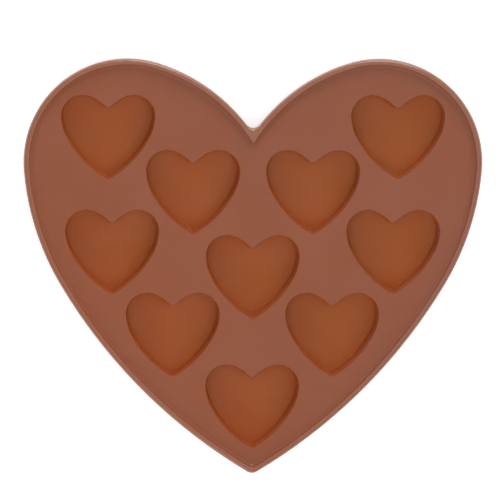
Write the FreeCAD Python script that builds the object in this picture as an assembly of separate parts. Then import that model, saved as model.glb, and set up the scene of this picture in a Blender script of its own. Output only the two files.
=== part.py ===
import FreeCAD, Part
import math
import os

# Chocolate mould: one heart-shaped sheet of silicone with a raised bead round its edge and ten
# heart-shaped cups hanging below it. It lies on the floors of its cups with the openings up.
# X runs across the heart, Y from its tip to its lobes, Z up from the undersides of the cups.
# Sizes are in millimetres. A heading is the direction in which an outline runs, in degrees
# anticlockwise from X, on its way from the tip round the right-hand lobe to the cleft. A cleft
# slope is how steeply the outline goes down where it leaves the lobe's circle for the cleft.

# The opening of one cup
cup_width = 43.8
cup_length = 39.5
cup_cleft_depth = 7.0
cup_lobe_spacing = 24.0
cup_shoulder_radius = 22.8
cup_shoulder_heading = 62.5
cup_lobe_heading = 87.3
cup_cleft_slope = 25.0

# The section of one cup
cup_depth = 15.0
cup_draft = 3.0
cup_wall = 1.2
cup_floor = 1.3
floor_edge_radius = 0.8
floor_tip_spare = 0.25
opening_edge_radius = 0.4
cup_cleft_spare = 0.8

# How the rows of cups nest into each other: a nest is how far the next cup reaches back
middle_pair_web = 12.4
top_pair_nest_x = 4.0
top_pair_nest_y = 13.7
side_pair_nest_x = 6.0
side_pair_nest_y = 11.4
centre_cup_web = 0.4
lower_pair_nest_x = 6.4
lower_pair_nest_y = 12.3
tip_cup_nest_y = 5.7

# The sheet and its bead: the lead is how far its lobes' centres lie inside the top cups' centres
side_border = 17.6
lobe_border = 17.1
tip_border = 12.1
sheet_cleft_depth = 35.2
sheet_lobe_lead = 9.0
sheet_shoulder_radius = 125.2
sheet_shoulder_heading = 59.4
sheet_lobe_heading = 85.1
sheet_cleft_slope = 17.0
sheet_cleft_radius = 4.0
sheet_thickness = 1.6
sheet_lower_edge_chamfer = 0.4
bead_width = 2.7
bead_height = 3.2
bead_crown_width = 0.2
bead_inner_edge_radius = 0.7
bead_side_height = 0.3
sheet_tip_spare = 2.7
bead_corner_spare = 0.2

# Levels
sheet_top = cup_floor + cup_depth
sheet_bottom = sheet_top - sheet_thickness
bead_top = sheet_top + bead_height
draft_slope = math.tan(math.radians(cup_draft))

# The bead's rounds: what its narrow crown and its short inner side leave of its width and height
bead_outer_edge_radius = bead_width - bead_crown_width - bead_inner_edge_radius
bead_foot_radius = bead_height - bead_inner_edge_radius - bead_side_height

# Two heights closer together than this are the same height
same_height = 0.0001


def outward(heading):
    """Unit vector to the right of a heading, which points out of the heart."""
    angle = math.radians(heading)
    return FreeCAD.Vector(math.sin(angle), -math.cos(angle), 0)


def radius_through(start, heading, target):
    """Radius of the circle that passes start at this heading and also meets target."""
    chord = target - start
    return -chord.dot(chord) / (2 * chord.dot(outward(heading)))


class Heart:
    """Outline of tangent arcs, symmetric about the YZ plane, with its unrounded tip at Y = 0.

    On the right-hand side a flank arc leaves the tip and a shoulder arc leads it into the lobe's
    circle. A cleft arc runs from the lobe down to the plane of symmetry. The lobe spacing is the
    distance between the centres of the two lobes.
    """

    def __init__(self, width, length, cleft_depth, lobe_spacing, shoulder_radius, headings):
        self.headings = headings
        self.length = length
        shoulder_heading, lobe_heading, cleft_heading = headings
        lobe_radius = (width - lobe_spacing) / 2
        lobe = FreeCAD.Vector(lobe_spacing / 2, length - lobe_radius, 0)
        shoulder = lobe - outward(lobe_heading) * (shoulder_radius - lobe_radius)
        flank_end = shoulder + outward(shoulder_heading) * shoulder_radius
        flank_radius = radius_through(flank_end, shoulder_heading, FreeCAD.Vector(0, 0, 0))
        flank = flank_end - outward(shoulder_heading) * flank_radius
        lobe_end = lobe + outward(cleft_heading) * lobe_radius
        cleft_point = FreeCAD.Vector(0, length - cleft_depth, 0)
        cleft_radius = radius_through(lobe_end, cleft_heading, cleft_point)
        cleft = lobe_end - outward(cleft_heading) * cleft_radius
        self.centres = [flank, shoulder, lobe, cleft]
        self.radii = [flank_radius, shoulder_radius, lobe_radius, cleft_radius]

    def tip_centre(self, inset, tip_radius):
        """Centre of the arc that rounds the tip of the outline moved inwards by inset."""
        flank = self.centres[0]
        reach = self.radii[0] - inset - tip_radius
        return FreeCAD.Vector(0, flank.y - math.sqrt(reach ** 2 - flank.x ** 2), 0)

    def cleft_centre(self, inset, corner_radius):
        """Centre of the arc that rounds the cleft of the outline moved inwards by inset."""
        cleft = self.centres[3]
        reach = self.radii[3] - inset + corner_radius
        return FreeCAD.Vector(0, cleft.y + math.sqrt(reach ** 2 - cleft.x ** 2), 0)

    def lowest(self, tip_radius):
        """Y of the rounded tip."""
        return self.tip_centre(0, tip_radius).y - tip_radius

    def wire(self, inset, tip_radius, corner_radius, z):
        """The outline moved inwards by inset, with its tip and its cleft rounded, at a height z."""
        tip = self.tip_centre(inset, tip_radius)
        corner = self.cleft_centre(inset, corner_radius)
        to_tip = tip - self.centres[0]
        first_heading = math.degrees(math.atan2(to_tip.x, -to_tip.y))
        to_corner = corner - self.centres[3]
        last_heading = math.degrees(math.atan2(to_corner.x, -to_corner.y)) % 360
        ends = [first_heading] + list(self.headings) + [last_heading]
        right = []
        for centre, radius, start, end in zip(self.centres, self.radii, ends, ends[1:]):
            stops = (start, (start + end) / 2, end)
            right.append([centre + outward(stop) * (radius - inset) for stop in stops])
        left = [[mirrored(point) for point in reversed(arc)] for arc in reversed(right)]
        tip_arc = [left[-1][2], tip - FreeCAD.Vector(0, tip_radius, 0), right[0][0]]
        corner_arc = [right[-1][2], corner - FreeCAD.Vector(0, corner_radius, 0), left[0][0]]
        arcs = [tip_arc] + right + [corner_arc] + left
        lift = FreeCAD.Vector(0, 0, z)
        return Part.Wire([Part.Arc(*[point + lift for point in arc]).toShape() for arc in arcs])


def mirrored(point):
    """The same point on the other side of the YZ plane."""
    return FreeCAD.Vector(-point.x, point.y, point.z)


def lies_at(shape, z):
    """Whether an edge or a face lies flat at a height."""
    box = shape.BoundBox
    return max(abs(box.ZMin - z), abs(box.ZMax - z)) < same_height


def edges_at(shape, z):
    """Edges that lie flat at a height."""
    return [edge for edge in shape.Edges if lies_at(edge, z)]


def hole_edges(shape, z):
    """Edges of the holes in the largest flat face at a height."""
    plate = max([face for face in shape.Faces if lies_at(face, z)], key=lambda face: face.Area)
    holes = [wire for wire in plate.Wires if not wire.isSame(plate.OuterWire)]
    return [edge for wire in holes for edge in wire.Edges]


cup = Heart(cup_width, cup_length, cup_cleft_depth, cup_lobe_spacing, cup_shoulder_radius,
            (cup_shoulder_heading, cup_lobe_heading, 180 + cup_cleft_slope))


def cup_section(z, outset):
    """The cup's outline at a height, moved outwards by outset, narrowing downwards with the draft."""
    inset = (sheet_top - z) * draft_slope
    tip_radius = floor_edge_radius + floor_tip_spare + cup_depth * draft_slope - inset + outset
    corner_radius = cup_cleft_spare + cup_wall + inset - outset
    return cup.wire(inset - outset, tip_radius, corner_radius, z)


def tapered(low, high, outset, edge_radius):
    """Heart-shaped plug between two heights, with its lower edge rounded."""
    plug = Part.makeLoft([cup_section(low, outset), cup_section(high, outset)], True, True)
    return plug.makeFillet(edge_radius, edges_at(plug, low))


def cup_hollow():
    """The space inside one cup, carried on above the sheet so that it cuts clean through."""
    return tapered(cup_floor, bead_top, 0, floor_edge_radius)


def cup_shell():
    """The outside of one cup, up to the middle of the sheet's thickness."""
    root = (sheet_bottom + sheet_top) / 2
    return tapered(0, root, cup_wall, floor_edge_radius + cup_wall)


def cup_places():
    """Where the unrounded tips of the ten cups lie, seen from that of the lowest cup."""
    middle_x = (cup_width + middle_pair_web) / 2
    lower_y = cup_length - tip_cup_nest_y
    centre_y = lower_y + cup_length - lower_pair_nest_y
    middle_y = centre_y + cup_length + centre_cup_web
    pairs = [
        (cup_width - lower_pair_nest_x, lower_y),
        (middle_x + cup_width - side_pair_nest_x, middle_y - cup_length + side_pair_nest_y),
        (middle_x, middle_y),
        (middle_x + cup_width - top_pair_nest_x, middle_y + cup_length - top_pair_nest_y),
    ]
    places = [(0, 0), (0, centre_y)]
    for x, y in pairs:
        places += [(x, y), (-x, y)]
    return places


places = cup_places()
top_x, top_y = places[-2]
sheet_width = 2 * top_x + cup_width + 2 * side_border
sheet_length = tip_border + top_y + cup_length + lobe_border
sheet_lobe_spacing = 2 * (top_x - sheet_lobe_lead)
sheet = Heart(sheet_width, sheet_length, sheet_cleft_depth, sheet_lobe_spacing, sheet_shoulder_radius,
              (sheet_shoulder_heading, sheet_lobe_heading, 180 + sheet_cleft_slope))
sheet_tip_radius = bead_outer_edge_radius + sheet_tip_spare


def extruded(wire, height):
    """A prism on a flat wire."""
    return Part.Face(wire).extrude(FreeCAD.Vector(0, 0, height))


def sheet_blank():
    """The sheet as thick as its bead, with its upper outer edge rounded and its lower one chamfered."""
    outline = sheet.wire(0, sheet_tip_radius, sheet_cleft_radius, sheet_bottom)
    blank = extruded(outline, bead_top - sheet_bottom)
    blank = blank.makeFillet(bead_outer_edge_radius, edges_at(blank, bead_top))
    return blank.makeChamfer(sheet_lower_edge_chamfer, edges_at(blank, sheet_bottom))


def sheet_recess():
    """The space inside the bead, with a hollow foot where the bead meets the sheet."""
    tip_radius = bead_foot_radius + bead_corner_spare
    corner_radius = bead_inner_edge_radius + bead_corner_spare
    outline = sheet.wire(bead_width, tip_radius, corner_radius, sheet_top)
    recess = extruded(outline, 2 * bead_height)
    return recess.makeFillet(bead_foot_radius, edges_at(recess, sheet_top))


def repeated(shape):
    """Copies of a cup's shape, one at each place, with the lowest a tip border above the sheet's tip."""
    copies = []
    for x, y in places:
        copies.append(shape.translated(FreeCAD.Vector(x, tip_border + y, 0)))
    return copies


def mould():
    """The finished one-piece mould."""
    body = sheet_blank().cut(sheet_recess())
    body = body.makeFillet(bead_inner_edge_radius, hole_edges(body, bead_top))
    body = body.fuse(repeated(cup_shell()))
    body = body.cut(repeated(cup_hollow()))
    body = body.removeSplitter()
    body = body.makeFillet(opening_edge_radius, hole_edges(body, sheet_top))
    middle_y = (sheet.lowest(sheet_tip_radius) + sheet.length) / 2
    body.translate(FreeCAD.Vector(0, -middle_y, 0))
    return body.Solids[0]


os.makedirs("parts", exist_ok=True)
part = mould()
part.exportStep("parts/mould.step")
print("mould", part.isValid(), round(part.Volume), part.BoundBox)
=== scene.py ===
import math

import bpy
from mathutils import Matrix, Vector

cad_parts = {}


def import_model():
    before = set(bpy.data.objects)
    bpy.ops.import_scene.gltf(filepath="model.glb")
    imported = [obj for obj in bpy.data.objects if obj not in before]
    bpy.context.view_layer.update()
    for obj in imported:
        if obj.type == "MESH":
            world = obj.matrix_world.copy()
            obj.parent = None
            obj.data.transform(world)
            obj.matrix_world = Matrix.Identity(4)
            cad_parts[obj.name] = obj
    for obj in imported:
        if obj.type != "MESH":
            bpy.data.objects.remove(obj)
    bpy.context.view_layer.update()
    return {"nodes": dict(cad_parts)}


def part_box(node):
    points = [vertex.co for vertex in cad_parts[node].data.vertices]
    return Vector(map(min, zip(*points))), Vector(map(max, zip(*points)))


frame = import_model()

# Levels of the mould in metres: the upper sides of the cups' floors and of the sheet
LOW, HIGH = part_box("mould")
CUP_FLOOR_THICKNESS = 0.0013
BEAD_HEIGHT = 0.0032
CUP_FLOOR = LOW.z + CUP_FLOOR_THICKNESS
SHEET_TOP = HIGH.z - BEAD_HEIGHT

# Colours of the silicone, as linear red, green, blue and alpha; all but the skin hold painted light or
# shade
SKIN = (0.263, 0.077, 0.032, 1)
# Painted light: the cups' floors are brighter and more orange for light glowing through the thin silicone
CUP_FLOOR_PAINTED_GLOW = (0.402, 0.096, 0.006, 1)
# Painted light: a bright orange line of glow where the floor rounds up into the wall
CUP_EDGE_PAINTED_GLOW = (0.56, 0.150, 0.006, 1)
# Painted light and shade: the walls get a weaker painted glow than the floors, for the shade on them
CUP_WALL_PAINTED_LIGHT = (0.38, 0.098, 0.038, 1)
# Painted sheen: the bead's hollow foot is paler and greyer
BEAD_FOOT_PAINTED_SHEEN = (0.267, 0.091, 0.056, 1)
# Painted highlight: the bead's sides and crown are lighter and greyer
BEAD_PAINTED_HIGHLIGHT = (0.283, 0.100, 0.048, 1)

# Heights in metres where one colour ends or the next begins: up the round at a cup's floor, its wall,
# the round of its opening, the sheet, the hollow foot of the bead and the bead's sides; these colours carry
# painted light
CUP_ROUND_START = CUP_FLOOR + 0.0001
CUP_ROUND_MIDDLE = CUP_FLOOR + 0.0004
CUP_WALL_START = CUP_FLOOR + 0.0012
CUP_WALL_END = SHEET_TOP - 0.0008
OPENING_ROUND_END = SHEET_TOP - 0.0002
SHEET_END = SHEET_TOP + 0.0001
BEAD_FOOT_START = SHEET_TOP + 0.0005
BEAD_FOOT_END = SHEET_TOP + 0.0014
BEAD_SIDE_START = SHEET_TOP + 0.0024
TONES_WITH_PAINTED_LIGHT = (
    (CUP_ROUND_START, CUP_FLOOR_PAINTED_GLOW), (CUP_ROUND_MIDDLE, CUP_EDGE_PAINTED_GLOW),
    (CUP_WALL_START, CUP_WALL_PAINTED_LIGHT), (CUP_WALL_END, CUP_WALL_PAINTED_LIGHT),
    (OPENING_ROUND_END, SKIN), (SHEET_END, SKIN),
    (BEAD_FOOT_START, BEAD_FOOT_PAINTED_SHEEN), (BEAD_FOOT_END, BEAD_FOOT_PAINTED_SHEEN), (BEAD_SIDE_START, BEAD_PAINTED_HIGHLIGHT))

# Heights in metres where the smooth gloss of the bead begins, is full and ends at its narrow crown
GLOSS_START = SHEET_TOP + 0.0002
GLOSS_HALFWAY = SHEET_TOP + 0.0008
GLOSS_FULL = SHEET_TOP + 0.0018
GLOSS_END = SHEET_TOP + 0.0030
CROWN_START = SHEET_TOP + 0.00315
CROWN_GLOSS = 0.1
GLOSSES = (
    (GLOSS_START, 0), (GLOSS_HALFWAY, 0.5), (GLOSS_FULL, 1), (GLOSS_END, 1), (CROWN_START, CROWN_GLOSS))
GLOSS_ROUGHNESS = 0.27
GLOSS_IOR = 1.6

# Body of the silicone: its surface reflection and the light that passes a little way into it
SURFACE_IOR = 1.5
SURFACE_REFLECTION = 0.2
DEPTH_SHARE = 0.5
DEPTH_BY_COLOUR = (1.0, 0.35, 0.15)
DEPTH = 0.0012

# Painted sheen and patches: a pale haze painted into the colour that grows towards the right-hand lobe for
# the lamps' reflection, in cloudy patches of random tone
BARE_TINT = (1.04, 0.95, 0.80, 1)
SHEEN_AND_PATCH_TINT = (0.98, 1.02, 1.15, 1)
SHEEN_DRIFT = (0.6, 0.45, 0.0)
CLOUDS_PER_METRE = 16.0
CLOUD_STRENGTH = 0.2
FULL_SHEEN_AND_PATCHES = 0.2

# Relief of the moulded skin in metres, and its roughness from the waves' hollows to their tops
WAVES_PER_METRE = 45.0
WAVE_HEIGHT = 0.0004
WAVE_LOW, WAVE_HIGH = 0.3, 0.7
HOLLOW_ROUGHNESS, TOP_ROUGHNESS = 0.41, 0.49
GRAINS_PER_METRE = 1800.0
GRAIN_HEIGHT = 0.00002

# How far a face's normal rises or dips before the face counts as fully turned up or down
LEVEL_BAND = 0.03

# Floor and studio light
FLOOR_HALF_SIZE = 6.0
FLOOR_GAP = 0.0002
FLOOR_GREY = 0.8
FLOOR_GLOW = 0.5
STUDIO_LIGHT = 0.59
WHITE = (1, 1, 1, 1)

# Camera: tilts in degrees, distance in metres, and the frame's scale and middle in pixels
TILT_TO_LOBES = 5
TILT_TO_LEFT = 2.5
ROLL = -0.02
CAMERA_DISTANCE = 3.05
FRAME_PIXELS = 500
PIXELS_PER_METRE = 2123
ORIGIN_RIGHT_OF_MIDDLE = 1.2
ORIGIN_BELOW_MIDDLE = 13.1
SENSOR_WIDTH_MM = 36
FARTHEST_SEEN = 50

# Places of the colour sockets on a Mix node
MIX_FIRST, MIX_SECOND, MIX_RESULT = 6, 7, 2


class Nodes:
    """Short calls for adding and joining shader nodes. An input is a socket or a plain value."""

    def __init__(self, tree):
        self.tree = tree
        tree.nodes.clear()

    def put(self, value, target):
        if isinstance(value, bpy.types.NodeSocket):
            self.tree.links.new(value, target)
        else:
            target.default_value = value

    def add(self, kind, **inputs):
        """Adds a node. The names of its inputs are written with _ for each space."""
        node = self.tree.nodes.new(kind)
        for name, value in inputs.items():
            self.put(value, node.inputs[name.replace("_", " ")])
        return node

    def combine(self, kind, operation, *values):
        """Adds a Math or Vector Math node with its inputs in order."""
        node = self.tree.nodes.new(kind)
        node.operation = operation
        for value, target in zip(values, node.inputs):
            self.put(value, target)
        return node

    def calculate(self, operation, *values):
        return self.combine("ShaderNodeMath", operation, *values).outputs["Value"]

    def mix(self, share, first, second, blend="MIX"):
        node = self.add("ShaderNodeMix", Factor=share)
        node.data_type = "RGBA"
        node.blend_type = blend
        self.put(first, node.inputs[MIX_FIRST])
        self.put(second, node.inputs[MIX_SECOND])
        return node.outputs[MIX_RESULT]


def new_material(name):
    material = bpy.data.materials.new(name)
    material.use_nodes = True
    return material, Nodes(material.node_tree)


def height_ramp(nodes, height, stops):
    """Colours along the height of the mould, from a list of heights in metres and colours."""
    share = nodes.add("ShaderNodeMapRange", Value=height, From_Min=LOW.z, From_Max=HIGH.z)
    ramp = nodes.add("ShaderNodeValToRGB", Fac=share.outputs["Result"])
    elements = ramp.color_ramp.elements
    elements.remove(elements[1])
    for index, (level, colour) in enumerate(stops):
        position = (level - LOW.z) / (HIGH.z - LOW.z)
        element = elements[0] if index == 0 else elements.new(position)
        element.position = position
        element.color = colour
    return ramp.outputs["Color"]


def upward_share(nodes, direction):
    """1 on faces turned up, 0 on faces turned down, such as the outsides of the cups."""
    height = nodes.add("ShaderNodeSeparateXYZ", Vector=direction).outputs["Z"]
    turned = nodes.add("ShaderNodeMapRange", Value=height, From_Min=-LEVEL_BAND, From_Max=LEVEL_BAND)
    return turned.outputs["Result"]


def sheen_and_patch_share(nodes, spot):
    """How much of the painted sheen and of the pale random patches a spot carries."""
    # Painted reflection: the haze grows steadily towards the right-hand lobe
    drift = nodes.combine("ShaderNodeVectorMath", "DOT_PRODUCT", spot, SHEEN_DRIFT).outputs["Value"]
    cloud = nodes.add("ShaderNodeTexNoise", Vector=spot, Scale=CLOUDS_PER_METRE, Detail=1.0).outputs[0]
    cloudy = nodes.calculate("MULTIPLY_ADD", cloud, CLOUD_STRENGTH, drift)
    share = nodes.add("ShaderNodeMapRange", Value=cloudy, From_Min=0.0, From_Max=FULL_SHEEN_AND_PATCHES)
    return share.outputs["Result"]


def relief(nodes, spot):
    """Normal and roughness of the moulded skin: slack, shallow waves under a fine satin grain."""
    waves = nodes.add("ShaderNodeTexNoise", Vector=spot, Scale=WAVES_PER_METRE, Detail=1.0).outputs[0]
    wavy = nodes.add("ShaderNodeBump", Height=waves, Strength=1.0, Distance=WAVE_HEIGHT)
    grain = nodes.add("ShaderNodeTexNoise", Vector=spot, Scale=GRAINS_PER_METRE, Detail=2.0).outputs[0]
    grainy = nodes.add("ShaderNodeBump", Height=grain, Strength=1.0, Distance=GRAIN_HEIGHT,
                       Normal=wavy.outputs["Normal"])
    rough = nodes.add("ShaderNodeMapRange", Value=waves, From_Min=WAVE_LOW, From_Max=WAVE_HIGH,
                      To_Min=HOLLOW_ROUGHNESS, To_Max=TOP_ROUGHNESS)
    return grainy.outputs["Normal"], rough.outputs["Result"]


def silicone():
    """Brown silicone: satin, a little translucent and glossier on the bead, with painted light in its
    colour: a glow inside the cups, a sheen and highlight on the bead, and a haze towards the right-hand
    lobe.
    """
    material, nodes = new_material("brown_silicone")
    place = nodes.add("ShaderNodeTexCoord")
    spot = place.outputs["Object"]
    height = nodes.add("ShaderNodeSeparateXYZ", Vector=spot).outputs["Z"]

    # Painted light by height on faces turned up: a glow in the cups, a sheen and highlight on the bead
    upper_tone_with_painted_light = height_ramp(nodes, height, TONES_WITH_PAINTED_LIGHT)
    tone = nodes.mix(upward_share(nodes, place.outputs["Normal"]), SKIN, upper_tone_with_painted_light)
    # Painted sheen towards the right-hand lobe, mixed with random pale patches
    tint = nodes.mix(sheen_and_patch_share(nodes, spot), BARE_TINT, SHEEN_AND_PATCH_TINT)
    gloss = height_ramp(nodes, height, [(level, (share, share, share, 1)) for level, share in GLOSSES])
    normal, roughness = relief(nodes, spot)
    shader = nodes.add(
        "ShaderNodeBsdfPrincipled", Base_Color=nodes.mix(1.0, tone, tint, "MULTIPLY"),
        Normal=normal, Roughness=roughness, IOR=SURFACE_IOR, Specular_IOR_Level=SURFACE_REFLECTION,
        Subsurface_Weight=DEPTH_SHARE, Subsurface_Radius=DEPTH_BY_COLOUR, Subsurface_Scale=DEPTH,
        Coat_Weight=gloss, Coat_Normal=normal, Coat_Roughness=GLOSS_ROUGHNESS, Coat_IOR=GLOSS_IOR)
    nodes.add("ShaderNodeOutputMaterial", Surface=shader.outputs["BSDF"])
    return material


def paper_white():
    """Floor: white to the camera, and grey enough to keep the shadow under the mould."""
    material, nodes = new_material("floor_white")
    paper = nodes.add("ShaderNodeBsdfDiffuse", Color=(FLOOR_GREY, FLOOR_GREY, FLOOR_GREY, 1))
    rays = nodes.add("ShaderNodeLightPath")
    seen = nodes.calculate("MAXIMUM", rays.outputs["Is Camera Ray"], rays.outputs["Is Glossy Ray"])
    seen = nodes.calculate("MAXIMUM", seen, rays.outputs["Is Transmission Ray"])
    strength = nodes.calculate("MULTIPLY", seen, FLOOR_GLOW)
    glow = nodes.add("ShaderNodeEmission", Color=WHITE, Strength=strength)
    both = nodes.add("ShaderNodeAddShader")
    nodes.put(paper.outputs["BSDF"], both.inputs[0])
    nodes.put(glow.outputs["Emission"], both.inputs[1])
    nodes.add("ShaderNodeOutputMaterial", Surface=both.outputs["Shader"])
    return material


def floor():
    """A large plane just under the cups, so it shares no face with their undersides."""
    size = FLOOR_HALF_SIZE
    mesh = bpy.data.meshes.new("floor")
    corners = [(-size, -size, 0), (size, -size, 0), (size, size, 0), (-size, size, 0)]
    mesh.from_pydata(corners, [], [(0, 1, 2, 3)])
    mesh.materials.append(paper_white())
    plane = bpy.data.objects.new("floor", mesh)
    plane.location.z = LOW.z - FLOOR_GAP
    bpy.context.scene.collection.objects.link(plane)


def world():
    """Even white light from all round."""
    studio = bpy.data.worlds.new("studio")
    bpy.context.scene.world = studio
    studio.use_nodes = True
    nodes = Nodes(studio.node_tree)
    background = nodes.add("ShaderNodeBackground", Color=WHITE, Strength=STUDIO_LIGHT)
    nodes.add("ShaderNodeOutputWorld", Surface=background.outputs["Background"])


def area_light(name, place, size, power):
    """A square lamp at a place in metres that points at the middle of the mould."""
    data = bpy.data.lights.new(name, "AREA")
    data.shape = "SQUARE"
    data.size = size
    data.energy = power
    lamp = bpy.data.objects.new(name, data)
    lamp.location = place
    lamp.rotation_euler = (-Vector(place)).to_track_quat("-Z", "Y").to_euler()
    bpy.context.scene.collection.objects.link(lamp)


def camera():
    """Looks down on the mould from a little towards its lobes and its left-hand side."""
    tilt_x, tilt_y, roll = (math.radians(angle) for angle in (TILT_TO_LOBES, TILT_TO_LEFT, ROLL))
    turn = Matrix.Rotation(roll, 3, "Z") @ Matrix.Rotation(tilt_y, 3, "Y") @ Matrix.Rotation(tilt_x, 3, "X")
    right, up, back = Vector(turn[0]), Vector(turn[1]), Vector(turn[2])
    shift = (up * ORIGIN_BELOW_MIDDLE - right * ORIGIN_RIGHT_OF_MIDDLE) / PIXELS_PER_METRE
    data = bpy.data.cameras.new("camera")
    data.sensor_width = SENSOR_WIDTH_MM
    data.lens = data.sensor_width * PIXELS_PER_METRE * CAMERA_DISTANCE / FRAME_PIXELS
    data.clip_end = FARTHEST_SEEN
    eye = bpy.data.objects.new("camera", data)
    turned = Matrix((right, up, back)).transposed().to_4x4()
    eye.matrix_world = Matrix.Translation(back * CAMERA_DISTANCE + shift) @ turned
    bpy.context.scene.collection.objects.link(eye)
    bpy.context.scene.camera = eye


mould = frame["nodes"]["mould"]
brown_silicone = silicone()
for slot in mould.material_slots:
    slot.material = brown_silicone
floor()
world()
area_light("lobe side", place=(0.2, 1.06, 0.5), size=0.6, power=6.0)
area_light("tip side", place=(-0.25, -0.98, 0.7), size=0.8, power=2.8)
area_light("above", place=(0.0, -0.04, 1.25), size=0.7, power=4.65)
camera()
bpy.context.scene.view_settings.view_transform = "Standard"
